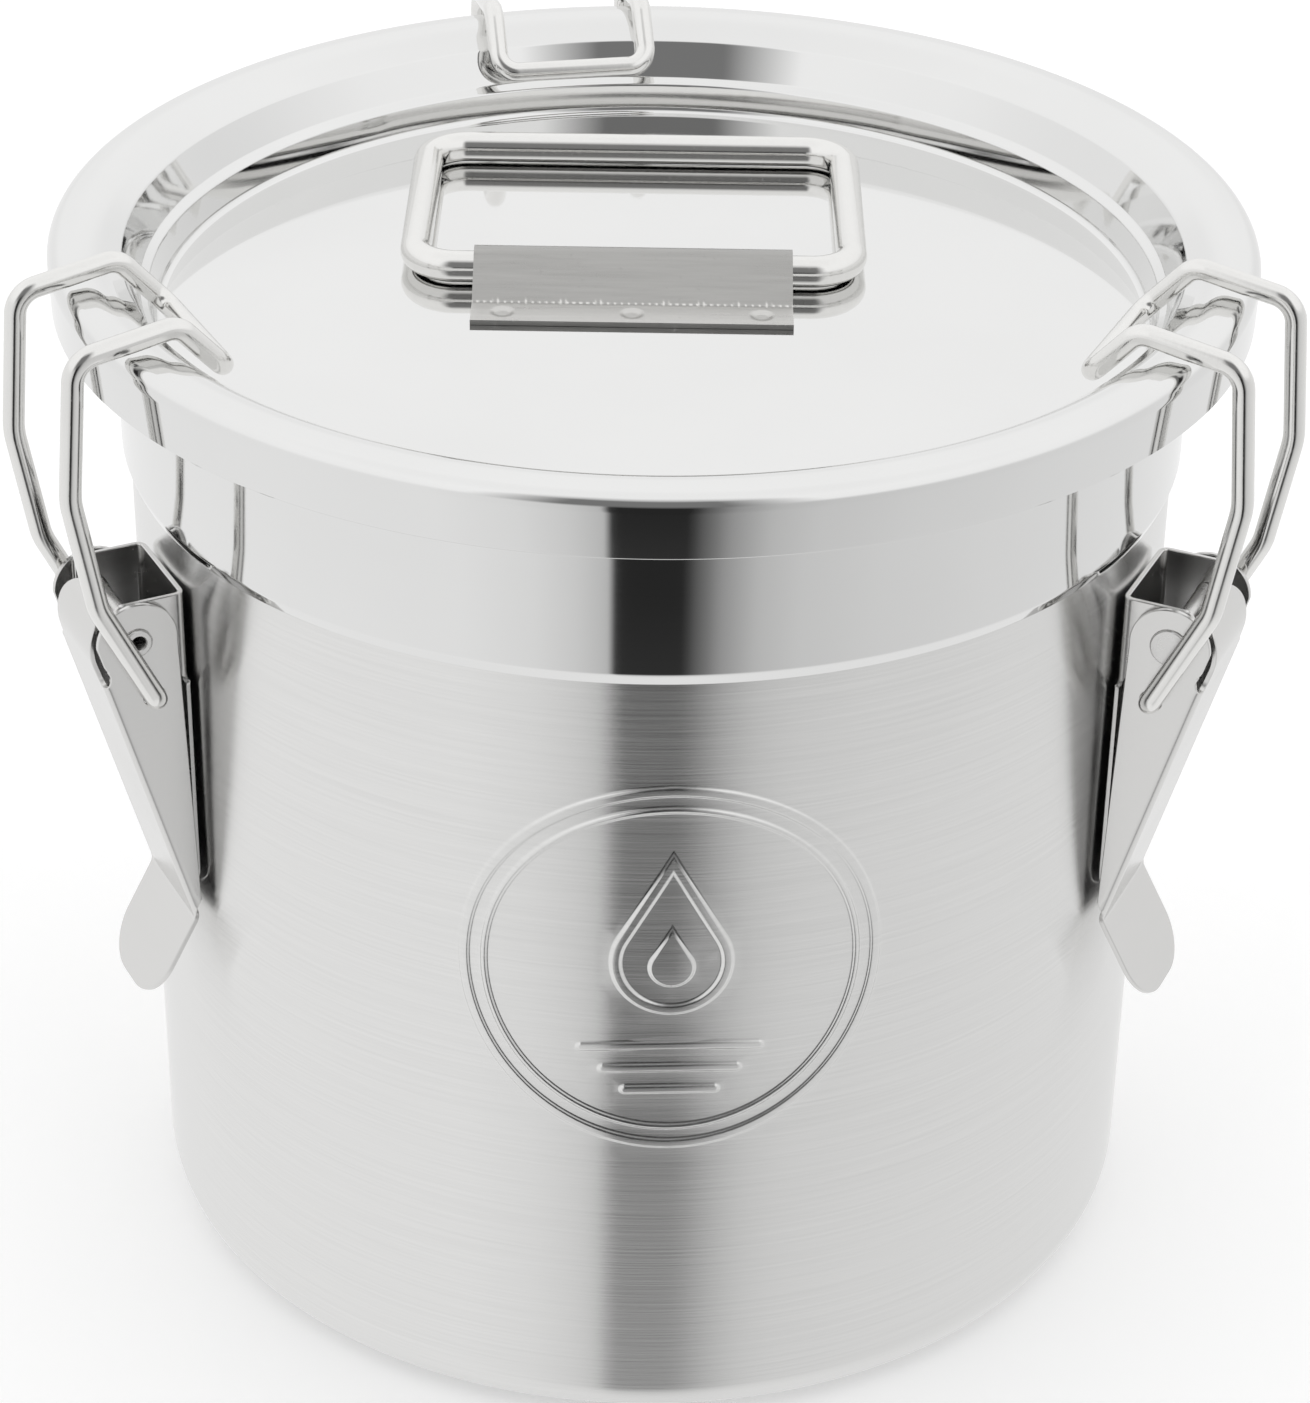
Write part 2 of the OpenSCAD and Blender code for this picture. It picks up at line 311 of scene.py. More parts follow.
def inset(loop, d):
    """The closed loop moved d to its inner side."""
    points = [Vector(p) for p in loop]
    area = sum(p.x * q.y - q.x * p.y for p, q in zip(points, points[1:] + points[:1]))
    out = []
    for i, p in enumerate(points):
        a = (p - points[i - 1]).normalized()
        b = (points[(i + 1) % len(points)] - p).normalized()
        normal = Vector((-a.y, a.x))
        m = (normal + Vector((-b.y, b.x))).normalized()
        out.append(p + m * math.copysign(d / max(0.5, m.dot(normal)), area * d))
    return out


def blank(outline, holes, us, vs, fold, t, side=-1, edge=0.16):
    """Verts and faces of a sheet-metal piece: a flat blank with holes, folded by fold(u, v).

    us and vs are the rows of inner points that let the blank bend. The sheet is t thick, on the
    given side of the folded face, and its edges are chamfered.
    """
    loops = [denser(outline, 0.8)] + holes
    coords, edges = [], []
    rims = loops + [inset(loop, -edge if k else edge) for k, loop in enumerate(loops)]
    for k, loop in enumerate(rims):
        start = len(coords)
        coords += [Vector(p) for p in loop]
        edges += [(start + i, start + (i + 1) % len(loop)) for i in range(len(loop))]
    rim_count = sum(len(loop) for loop in loops)
    for u in us:
        for v in vs:
            if inside((u, v), loops[0]) and not any(inside((u, v), h) for h in holes):
                if not any(near((u, v), loop, edge + 0.2) for loop in loops):
                    coords.append(Vector((u, v)))
    points, _, tris, sources = delaunay_2d_cdt(coords, edges, [], 0, 1e-5)[:4]
    keep = []
    for tri in tris:
        c = sum((points[i] for i in tri), Vector((0, 0))) / len(tri)
        if inside(c, loops[0]) and not any(inside(c, h) for h in holes):
            keep.append(tuple(tri))
    used = sorted({i for tri in keep for i in tri})
    index = {old: new for new, old in enumerate(used)}
    outer, inner = [], []
    for i in used:
        u, v = points[i]
        e = 0.03
        along_u = Vector(fold(u + e, v)) - Vector(fold(u - e, v))
        along_v = Vector(fold(u, v + e)) - Vector(fold(u, v - e))
        through = along_u.cross(along_v).normalized() * side
        cut = edge if any(k < rim_count for k in sources[i]) else 0.0
        outer.append(Vector(fold(u, v)) + through * cut)
        inner.append(Vector(fold(u, v)) + through * (t - cut))
    n = len(used)
    faces = [tuple(index[i] for i in tri) for tri in keep]
    rim = {(f[k], f[(k + 1) % len(f)]) for f in faces for k in range(len(f))}
    rim = [(a, b) for a, b in rim if (b, a) not in rim]
    faces += [tuple(i + n for i in f[::-1]) for f in faces]
    faces += [(a, a + n, b + n, b) for a, b in sorted(rim)]
    if side > 0:
        faces = [f[::-1] for f in faces]
    return outer + inner, faces


# ---------------------------------------------------------------- materials

class Nodes:
    """Short names for building a node tree."""

    def __init__(self, tree):
        self.tree = tree

    def add(self, kind, **values):
        node = self.tree.nodes.new(kind)
        for key, value in values.items():
            if key in node.bl_rna.properties.keys():
                setattr(node, key, value)
            else:
                node.inputs[key.replace("_", " ")].default_value = value
        return node

    def link(self, out, target):
        self.tree.links.new(out, target)

    def maths(self, operation, a, b=None):
        node = self.tree.nodes.new("ShaderNodeMath")
        node.operation = operation
        for slot, value in zip(node.inputs, (a, b)):
            if value is None:
                continue
            if isinstance(value, (int, float)):
                slot.default_value = value
            else:
                self.link(value, slot)
        return node.outputs[0]

    def ramp(self, factor, stops):
        node = self.tree.nodes.new("ShaderNodeValToRGB")
        ends = node.color_ramp.elements
        while len(ends) > 1:
            ends.remove(ends[-1])
        for k, (place, value) in enumerate(stops):
            e = ends[0] if k == 0 else ends.new(place)
            e.position = place
            e.color = (value, value, value, 1) if isinstance(value, (int, float)) else (*value, 1)
        self.link(factor, node.inputs[0])
        return node.outputs[0]

    def noise(self, vector, scale, detail=3.0, rough=0.55):
        node = self.tree.nodes.new("ShaderNodeTexNoise")
        node.inputs["Scale"].default_value = scale
        node.inputs["Detail"].default_value = detail
        node.inputs["Roughness"].default_value = rough
        self.link(vector, node.inputs["Vector"])
        return node.outputs["Fac"]

    def stretched(self, vector, scale):
        node = self.tree.nodes.new("ShaderNodeMapping")
        node.inputs["Scale"].default_value = scale
        self.link(vector, node.inputs["Vector"])
        return node.outputs[0]


GRAIN_TONE = 0.16     # how far the grain changes the steel's brightness
BROAD_TONE = 0.06     # and how far its broad unevenness does
BROAD_SCALE = 22.0    # of the noise, in 1/m
WEAR_SCALE = 900.0
GRAIN_DEPTH = 0.00008


def steel(name, color, rough, rough_span, grain, grain_bump, anisotropic=0.0, spots=0.0, tangent=None,
          tool_marks_and_highlight=False):
    """Stainless steel. grain is the noise scale along x, y and z in 1/m: a small one runs long.

    When asked for, an attribute of the mesh brightens the steel where a tool has scraped it, and adds
    painted highlight where light falls on it.
    """
    mat = bpy.data.materials.new(name)
    mat.use_nodes = True
    n = Nodes(mat.node_tree)
    shader = mat.node_tree.nodes["Principled BSDF"]
    shader.inputs["Metallic"].default_value = 1.0
    shader.inputs["Anisotropic"].default_value = anisotropic
    place = n.add("ShaderNodeTexCoord").outputs["Object"]
    fine = n.noise(n.stretched(place, grain), 1.0, 4.0, 0.6)
    broad = n.noise(place, BROAD_SCALE, 4.0, 0.5)
    wear = n.noise(place, WEAR_SCALE, 2.0, 0.6)
    contrast = GRAIN_TONE * min(1, grain_bump * 4)
    tone = n.maths("ADD", n.maths("MULTIPLY", n.maths("SUBTRACT", fine, 0.5), contrast),
                   n.maths("MULTIPLY", n.maths("SUBTRACT", broad, 0.5), BROAD_TONE))
    if tool_marks_and_highlight:
        # The attribute brightens the tool marks and adds painted highlight
        scrape_and_highlight = n.add("ShaderNodeAttribute", attribute_name="tool_mark_and_highlight").outputs["Fac"]
        tone = n.maths("ADD", n.maths("MULTIPLY", tone, 2.0), scrape_and_highlight)
    bright = n.maths("ADD", tone, 1.0)
    mixed = n.add("ShaderNodeMix", data_type="RGBA", blend_type="MULTIPLY")
    mixed.inputs[0].default_value = 1.0
    mixed.inputs[6].default_value = (*color, 1)
    grey = n.add("ShaderNodeCombineColor")
    for k in range(3):
        n.link(bright, grey.inputs[k])
    n.link(grey.outputs[0], mixed.inputs[7])
    n.link(mixed.outputs[2], shader.inputs["Base Color"])
    uneven = n.maths("ADD", n.maths("MULTIPLY", fine, rough_span), rough - rough_span / 2)
    if spots:
        wear_and_painted_highlight = n.ramp(wear, [(0.62, 0.0), (0.74, 1.0)])
        uneven = n.maths("ADD", uneven, n.maths("MULTIPLY", wear_and_painted_highlight, spots))
    n.link(n.maths("ADD", uneven, n.maths("MULTIPLY", n.maths("SUBTRACT", broad, 0.5), rough * 0.5)),
           shader.inputs["Roughness"])
    bump = n.add("ShaderNodeBump")
    bump.inputs["Strength"].default_value = grain_bump
    bump.inputs["Distance"].default_value = GRAIN_DEPTH
    n.link(fine, bump.inputs["Height"])
    n.link(bump.outputs[0], shader.inputs["Normal"])
    if tangent:
        # The grain runs round this axis, so the blur is across it
        t = n.add("ShaderNodeTangent", direction_type="RADIAL", axis=tangent)
        n.link(t.outputs[0], shader.inputs["Tangent"])
        shader.inputs["Anisotropic Rotation"].default_value = 0.25
    return mat


def silicone(name, color):
    mat = bpy.data.materials.new(name)
    mat.use_nodes = True
    n = Nodes(mat.node_tree)
    shader = mat.node_tree.nodes["Principled BSDF"]
    shader.inputs["Subsurface Weight"].default_value = 0.1
    place = n.add("ShaderNodeTexCoord").outputs["Object"]
    shade = n.noise(place, 60.0)
    tint = n.ramp(shade, [(0.3, tuple(c * 0.92 for c in color)), (0.7, color)])
    n.link(tint, shader.inputs["Base Color"])
    n.link(n.maths("ADD", n.maths("MULTIPLY", shade, 0.15), 0.4), shader.inputs["Roughness"])
    bump = n.add("ShaderNodeBump")
    bump.inputs["Strength"].default_value = 0.2
    bump.inputs["Distance"].default_value = 0.0001
    n.link(n.noise(place, 1500.0), bump.inputs["Height"])
    n.link(bump.outputs[0], shader.inputs["Normal"])
    return mat


POLISHED = (0.80, 0.80, 0.795)
SATIN = (0.74, 0.735, 0.725)
DRUM = steel("brushed drum", (0.80, 0.798, 0.79), rough=0.22, rough_span=0.12,
             grain=(26, 26, 2000), grain_bump=0.28, anisotropic=0.97, tangent="Z")
COLLAR = steel("polished collar", POLISHED, rough=0.06, rough_span=0.03,
               grain=(8, 8, 1500), grain_bump=0.02)
LID = steel("polished lid", POLISHED, rough=0.05, rough_span=0.03,
            grain=(120, 120, 120), grain_bump=0.01)
WIRE = steel("polished wire", (0.82, 0.815, 0.80), rough=0.13, rough_span=0.08,
             grain=(900, 900, 160), grain_bump=0.10, spots=0.10)
LATCH = steel("latch sheet", SATIN, rough=0.22, rough_span=0.08,
              grain=(60, 60, 900), grain_bump=0.06, spots=0.03)
BRACKET = steel("bracket sheet", SATIN, rough=0.24, rough_span=0.10,
                grain=(60, 60, 900), grain_bump=0.06, spots=0.04)
CLIP = steel("clip sheet", (0.42, 0.416, 0.405), rough=0.30, rough_span=0.14,
             grain=(60, 1100, 1100), grain_bump=0.30, spots=0.2, tool_marks_and_highlight=True)
RIVET = steel("rivet steel", SATIN, rough=0.28, rough_span=0.10,
              grain=(400, 400, 400), grain_bump=0.15, spots=0.1)
SILICONE = silicone("silicone", (0.80, 0.80, 0.78))


# ---------------------------------------------------------------- drum

EMBLEM_AZIMUTH = math.radians(-87)
EMBLEM_Z = 105.0
EMBLEM_R = 39.0
RELIEF = 0.5
EDGE = 0.45           # half the width of the emblem's sloping edges
STROKE = 1.8
THIN_R = EMBLEM_R - 4.7
THIN = 0.5
DROPS = ((2.0, 11.0, STROKE / 2), (1.0, 4.0, 4.0))    # height of the centre, radius, half the stroke
DROP_REACH = 2.1      # from a drop's centre to its point, in radii
BARS = [(-17 - 4.5 * k, 34 - 8 * k, 1.6) for k in range(3)]   # height, width, thickness
WINDOW = 42.0         # half the size of the finely meshed square round the emblem
WINDOW_ANGLE = 24.0
WALL_STEP = 1.5       # degrees between the drum wall's columns


def drop_distance(x, y, r):
    """Signed distance to a drop: a circle of radius r at the origin, drawn up to a point."""
    x = abs(x)
    b = 1 / DROP_REACH
    a = math.sqrt(1 - b * b)
    k = -b * x + a * y
    if k < 0:
        return math.hypot(x, y) - r
    if k > a * r * DROP_REACH:
        return math.hypot(x, y - r * DROP_REACH)
    return a * x + b * y - r


def bar_distance(x, y, w, h):
    dx, dy = abs(x) - (w - h) / 2, abs(y)
    return math.hypot(max(dx, 0), dy) - h / 2


def emblem_distance(x, y):
    """Signed distance to the emblem: two rims round a drop, and three ribs under it."""
    centre = math.hypot(x, y)
    parts = [abs(centre - EMBLEM_R + STROKE / 2) - STROKE / 2, abs(centre - THIN_R) - THIN]
    parts += [abs(drop_distance(x, y - at, r) + half) - half for at, r, half in DROPS]
    parts += [bar_distance(x, y - at, w, h) for at, w, h in BARS]
    return min(parts)


def drop_loop(at, r):
    side = math.degrees(math.acos(1 / DROP_REACH))
    return [(0, at + r * DROP_REACH)] + arc(0, at, r, 90 - side, side - 270, 6)


def bar_loop(at, w, h, off):
    end, r = (w - h) / 2, h / 2 + off
    return arc(end, at, r, -90, 90, 20) + arc(-end, at, r, 90, 270, 20)


def emblem_loops():
    """Loops at the foot, the middle and the top of every edge of the emblem."""
    steps = (EDGE, 0, -EDGE)
    rings = [EMBLEM_R + e for e in steps] + [EMBLEM_R - STROKE - e for e in steps]
    rings += [THIN_R - THIN - EDGE, THIN_R - THIN, THIN_R, THIN_R + THIN, THIN_R + THIN + EDGE]
    loops = [arc(0, 0, r, 0, 357, 3) for r in rings]
    for at, r, half in DROPS:
        loops += [drop_loop(at, r + e) for e in steps]
        if 2 * half < r:
            loops += [drop_loop(at, r - 2 * half - e) for e in steps]
    for at, w, h in BARS:
        loops += [bar_loop(at, w, h, e) for e in steps]
    return loops


def emblem_relief(x, y):
    return RELIEF * (1 - smooth(-EDGE, EDGE, emblem_distance(x, y)))


def emblem_normal(x, y):
    """Across, up and out parts of the normal of the embossed sheet."""
    e = 0.03
    across = (emblem_relief(x + e, y) - emblem_relief(x - e, y)) / (2 * e)
    up = (emblem_relief(x, y + e) - emblem_relief(x, y - e)) / (2 * e)
    return -across, -up, 1.0


def emblem_mesh(columns, rows):
    """Flat points and triangles of the window round the emblem; its rim has the columns and rows."""
    rim = [(x, rows[0]) for x in columns[:-1]] + [(columns[-1], y) for y in rows[:-1]]
    rim += [(x, rows[-1]) for x in columns[:0:-1]] + [(columns[0], y) for y in rows[:0:-1]]
    points, edges = [], []
    for loop in [rim] + emblem_loops():
        start = len(points)
        points += [Vector(p) for p in loop]
        edges += [(start + k, start + (k + 1) % len(loop)) for k in range(len(loop))]
    points += [Vector((x, y)) for x in columns[1:-1] for y in rows[1:-1] if emblem_distance(x, y) > 1.2]
    flat, _, faces = delaunay_2d_cdt(points, edges, [], 0, 1e-5)[:3]
    return [tuple(p) for p in flat], [tuple(f) for f in faces]


def drum():
    """Brushed shell, with the embossed emblem in a finely meshed window of its wall."""
    rows = spaced(-WINDOW, WINDOW, 3)
    wall = spaced(BASE_CORNER + 1, EMBLEM_Z - WINDOW, 6)[:-1]
    wall += [EMBLEM_Z + y for y in rows]
    wall += spaced(EMBLEM_Z + WINDOW, DRUM_TOP, 6)[1:]
    outer = rounded([(0, 0, 0), (BODY_R, 0, BASE_CORNER), (BODY_R, BASE_CORNER + 0.5, 0)])
    outer = [(0, 0)] + [(r, 0) for r in (30, 60, 80)] + outer[1:-1]
    inner = beside(rounded([(0, 0, 0), (BODY_R, 0, BASE_CORNER), (BODY_R, DRUM_TOP, 0)]), SHEET)
    loop = outer + [(BODY_R, z) for z in wall] + inner[::-1]
    turns = [math.radians(WALL_STEP * k - WINDOW_ANGLE) for k in range(round(360 / WALL_STEP))]
    verts, faces = lathe(loop, [EMBLEM_AZIMUTH + a for a in turns])

    def window_place(v):
        """Place on the unrolled window of a point of the drum's outer face, or None."""
        x = (math.atan2(v[1], v[0]) - EMBLEM_AZIMUTH + math.pi) % (2 * math.pi) - math.pi
        y = v[2] - EMBLEM_Z
        if math.hypot(v[0], v[1]) < BODY_R - SHEET / 2 or abs(y) > WINDOW + 0.1:
            return None
        return (x * BODY_R, y) if abs(x) < math.radians(WINDOW_ANGLE + 0.1) else None

    inside_window = {i: window_place(v) for i, v in enumerate(verts) if window_place(v)}
    faces = [f for f in faces if not all(i in inside_window for i in f)]
    columns = [a * BODY_R for a in turns if a < math.radians(WINDOW_ANGLE + 0.1)]
    flat, triangles = emblem_mesh(columns, rows)
    index = []
    for p in flat:
        same = min(inside_window, key=lambda i: math.dist(inside_window[i], p))
        if math.dist(inside_window[same], p) > 0.01:
            same = len(verts)
            a, r = EMBLEM_AZIMUTH + p[0] / BODY_R, BODY_R + emblem_relief(*p)
            verts.append((r * math.cos(a), r * math.sin(a), EMBLEM_Z + p[1]))
        index.append(same)
    faces += [tuple(index[i] for i in f) for f in triangles]
    used = sorted({i for f in faces for i in f})
    new = {old: k for k, old in enumerate(used)}
    verts = [verts[i] for i in used]
    faces = [tuple(new[i] for i in f) for f in faces]
    obj = make("drum_body", verts, faces, DRUM, "drum_steel", "drum", ["drum_shell"], 40)
    mesh = obj.data
    normals = []
    for corner, n in zip(mesh.loops, mesh.corner_normals):
        v = verts[corner.vertex_index]
        place = window_place(v)
        if place:
            across, up, out = emblem_normal(*place)
            a = math.atan2(v[1], v[0])
            normals.append(Vector((out * math.cos(a) - across * math.sin(a),
                                   out * math.sin(a) + across * math.cos(a), up)).normalized())
        else:
            normals.append(Vector(n.vector))
    mesh.normals_split_custom_set(normals)
    return obj


ROLL_R = 3.1          # of the rim that the lid seats on
SHOULDER = 2.2        # height and bend of the collar's shoulder at the seam


def collar():
    """Polished band with a soft shoulder at the seam, rolled into the rim at the top."""
    cx, cz = RIM_R - ROLL_R, RIM_TOP - ROLL_R
    outer = rounded([(BODY_R + 0.05, SEAM_Z, 0), (BODY_R + 0.7, SEAM_Z + 0.02, 0.35),
                     (COLLAR_R, SEAM_Z + SHOULDER, SHOULDER), (COLLAR_R, cz - 5, 0)])
    outer += rounded([(COLLAR_R, cz - 4.5, 0), (COLLAR_R + 0.02, cz - 1, 1.5),
                      (cx - ROLL_R + SHEET + 0.3, cz, 0)])[1:]
    curl = arc(cx, cz, ROLL_R - SHEET, 180, -60, 8)
    rim = arc(cx, cz, ROLL_R, 180, -60, 8)
    back = [(COLLAR_R - SHEET, cz - 1.5), (COLLAR_R - SHEET, SEAM_Z + 9), (BODY_R + 0.05, SEAM_Z + 8)]
    loop = outer + curl[1:] + rim[::-1] + back
    verts, faces = lathe(loop)
    return make("collar_band", verts, faces, COLLAR, "collar_steel", "drum", ["mouth_collar"], 40)


# ---------------------------------------------------------------- lid

# Corners of the lid's section, with their radii: the recess's step, then the ring
RECESS = [(94, PANEL_Z, 1.5), (95, PANEL_Z + 5.8, 0.8), (96.6, PANEL_Z + 6.9, 0.8)]
RING = [(99.6, 204.1, 1.2), (105.2, 208.2, 9), (LID_R + 0.1, 207.4, 3)]


def lid():
    """Pressed lid: recessed panel, convex ring and a skirt with a rounded hem."""
    path = rounded([(60, PANEL_Z, 0)] + RECESS + RING + [(LID_R - 0.3, SKIRT_Z, 0)], 3)
    path = [(0, PANEL_Z)] + [(r, PANEL_Z) for r in (20, 40)] + path
    other = beside(path, -SHEET)
    hem = [(path[-1][0] + 0.05, SKIRT_Z + 0.25), (path[-1][0] - 0.2, SKIRT_Z)]
    hem += [(other[-1][0] + 0.2, SKIRT_Z), (other[-1][0], SKIRT_Z + 0.2)]
    loop = path[:-1] + hem + other[::-1][1:]
    verts, faces = lathe(loop, [2 * math.pi * k / 360 for k in range(360)])
    return make("lid_body", verts, faces, LID, "lid_steel", "lid", ["lid_pan"], 40)


def gasket():
    """The CAD's own ring, which is hidden in the lid's channel."""
    node = frame["nodes"]["lid_gasket"]
    node.data.materials.clear()
    node.data.materials.append(SILICONE)


def handle():
    """Closed loop of wire, lying flat in the recess."""
    x1, x2 = HANDLE_LOW.x + HANDLE_WIRE / 2, HANDLE_HIGH.x - HANDLE_WIRE / 2
    y2 = HANDLE_HIGH.y - HANDLE_WIRE / 2
    z = HINGE.z
    corners = [(x1, HINGE.y, z), (x2, HINGE.y, z), (x2, y2, z), (x1, y2, z)]
    path = rounded_wire(corners, [HANDLE_BEND] * 4, 4)
    verts, faces = tube(path, HANDLE_WIRE, closed=True, sides=40)
    return make("handle_loop", verts, faces, WIRE, "wire_steel", "handle", ["lid_handle"], 60)


CLIP_FOLD = -3.6      # Y of the fold between the strap's slope and its foot
CLIP_FRONT = -12.0
DIMPLE_Y = -8.0
DIMPLE_DEPTH = 0.35
TICK_PITCH = 1.3
TICK_Y = -3.9
TICK_DEPTH = 0.08


def clip():
    """Strap folded over the wire. Three weld dimples and a row of tool marks are pressed into it."""
    r = HANDLE_WIRE / 2 + 0.1 + SHEET
    foot = PANEL_Z + 0.05 + SHEET
    over = arc(HINGE.y, HINGE.z, r, -25, 118, 5)
    path = over + rounded([(*over[-1], 0), (CLIP_FOLD, foot, 1.2), (CLIP_FRONT, foot, 0)], 8)[1:]
    half = (CLIP_HIGH.x - CLIP_LOW.x) / 2
    middle = (CLIP_HIGH.x + CLIP_LOW.x) / 2
    fine = []
    for (y1, z1), (y2, z2) in zip(path, path[1:]):
        count = max(1, round(math.dist((y1, z1), (y2, z2)) / 0.4))
        fine += [(y1 + (y2 - y1) * k / count, z1 + (z2 - z1) * k / count) for k in range(count)]
    fine.append(path[-1])
    under = beside(fine, SHEET)
    across = spaced(-half + 0.15, half - 0.15, 0.33)

    def tick(x, y):
        """Strength of the row of tool marks along the fold; every fifth one is long."""
        off = abs((x / TICK_PITCH) % 1 - 0.5) * TICK_PITCH
        long = 1.0 if round(x / TICK_PITCH) % 5 else 1.9
        across_tick = 1 - smooth(0.12, 0.34, off)
        return across_tick * (1 - smooth(0.35 * long, 0.55 * long, abs(y - TICK_Y)))

    def wear_and_painted_highlight(y):
        """Painted highlight: how much brighter the steel is painted on the foot, and behind the wire."""
        return 0.5 * smooth(3.9, 4.6, -y) + 0.8 * smooth(1.0, 2.4, y - HINGE.y)

    def pressed(x, y):
        """Depth of the dimples and the tool marks."""
        dent = 0.0
        for place in (-0.8, 0, 0.8):
            from_centre = math.hypot(x - place * half, y - DIMPLE_Y)
            dent += DIMPLE_DEPTH * (1 - smooth(1.3, 2.3, from_centre))
        return dent + TICK_DEPTH * tick(x, y)

    verts, faces, tool_marks_and_highlight = [], [], []
    rows = []
    for points, dents in ((fine, True), (under[::-1], False)):
        for k, (y, z) in enumerate(points):
            row = []
            for x in across:
                drop = pressed(x, y) if dents else 0
                slope = 0.0
                if dents and 0 < k < len(points) - 1:
                    t = Vector(points[k + 1]) - Vector(points[k - 1])
                    t.normalize()
                    slope = -t.y
                verts.append((middle + x, y + slope * drop, z - (1 - abs(slope) * 0.5) * drop))
                # Brightness of the tool marks, and painted highlight on the foot and behind the wire
                tool_marks_and_highlight.append(max(0.9 * tick(x, y), wear_and_painted_highlight(y)) if dents else 0.0)
                row.append(len(verts) - 1)
            rows.append(row)
    for low, high in zip(rows, rows[1:] + rows[:1]):
        for k in range(len(across) - 1):
            faces.append((low[k], low[k + 1], high[k + 1], high[k]))
    n = len(fine)
    for end in (0, -1):
        for k in range(n - 1):
            a, b = rows[k][end], rows[k + 1][end]
            c, d = rows[2 * n - 2 - k][end], rows[2 * n - 1 - k][end]
            faces.append((a, b, c, d) if end else (d, c, b, a))
    obj = make("handle_clip_strap", verts, faces, CLIP, "clip_steel", "lid", ["handle_clip"], 40)
    # This attribute carries the tool marks and the painted highlight into the clip's steel
    tool_mark_and_highlight = obj.data.attributes.new("tool_mark_and_highlight", "FLOAT", "POINT")
    tool_mark_and_highlight.data.foreach_set("value", tool_marks_and_highlight)
    return obj


# ---------------------------------------------------------------- latches

FOLD_R = 1.3          # outer bend radius of the lever's flanges
FLAT = LEVER_W / 2 - FOLD_R
WRAP = FOLD_R * math.pi / 2
NOSE_R = 10.6
NOSE_CENTRE = PIVOT - Vector((2.5, 2.2))
NOSE_END = 52.0       # direction of the rolled nose's free edge, in degrees
TONGUE_HALF = 9.0     # half the width of the nose
SLOT_R = 2.1          # round end of the slot between the nose and each flange
SLOT_BACK = 1.5
FLANGE_R = 7.7        # round head of each flange, about the rivet
TAB_FOLD = Vector((102.2, 86.0))
TAB_END = Vector((112.3, 68.4))
TAB_HALF = 11.8
TAB_FOLD_R = 2.0


def polar(centre, r, degrees):
    return centre + r * Vector((math.cos(math.radians(degrees)), math.sin(math.radians(degrees))))


# The front plate runs from the tab's fold, tangent to the nose
AWAY = TAB_FOLD - NOSE_CENTRE
NOSE_START = math.degrees(math.atan2(AWAY.y, AWAY.x) + math.acos(NOSE_R / AWAY.length))
NOSE_0 = polar(NOSE_CENTRE, NOSE_R, NOSE_START)
ALONG = (NOSE_0 - TAB_FOLD).normalized()
OUT = Vector((ALONG.y, -ALONG.x))
CREASE = (NOSE_0 - TAB_FOLD).length
NOSE_TIP = CREASE + math.radians(NOSE_END - NOSE_START) * NOSE_R


def flange_flat(x, z):
    """Place on the right half of the lever's blank of a point (x, z) of the folded flange."""
    p = Vector((x, z)) - TAB_FOLD
    depth = -p.dot(OUT)
    return FLAT + WRAP + depth - FOLD_R, p.dot(ALONG)


def lever_line(v):
    """Point and outward normal of the front plate's outer face, v along it from the tab's fold."""
    tab_along = (TAB_FOLD - TAB_END).normalized()
    tab_out = Vector((tab_along.y, -tab_along.x))
    turn = tab_along.angle_signed(ALONG) * -1
    tangent = TAB_FOLD_R * math.tan(abs(turn) / 2)
    if v > CREASE:
        angle = NOSE_START + math.degrees((v - CREASE) / NOSE_R)
        p = polar(NOSE_CENTRE, NOSE_R, angle)
        return p, (p - NOSE_CENTRE).normalized()
    if v >= tangent:
        return TAB_FOLD + ALONG * v, OUT
    if v <= -tangent:
        return TAB_FOLD + tab_along * v, tab_out
    t = (v + tangent) / (2 * tangent)
    a = TAB_FOLD - tab_along * tangent
    b = TAB_FOLD + ALONG * tangent
    p = a * (1 - t) ** 2 + TAB_FOLD * 2 * t * (1 - t) + b * t * t
    return p, (tab_out * (1 - t) + OUT * t).normalized()


def lever_fold(u, v):
    """Place on the folded lever of a point of its blank."""
    side = 1 if u >= 0 else -1
    a = abs(u)
    flat_line, _ = lever_line(v)
    if a > FLAT + WRAP + 0.02:
        depth = a - FLAT - WRAP + FOLD_R
        p = TAB_FOLD + ALONG * v - OUT * depth
        return p.x, side * LEVER_W / 2, p.y
    bend = smooth(0.2, 1.6, v) if a > FLAT else 0.0
    angle = max(0.0, a - FLAT) / FOLD_R
    p = flat_line - OUT * (FOLD_R * (1 - math.cos(angle))) * bend
    y = FLAT + FOLD_R * math.sin(angle) if a > FLAT else a
    y = y * bend + a * (1 - bend)
    return p.x, side * y, p.y


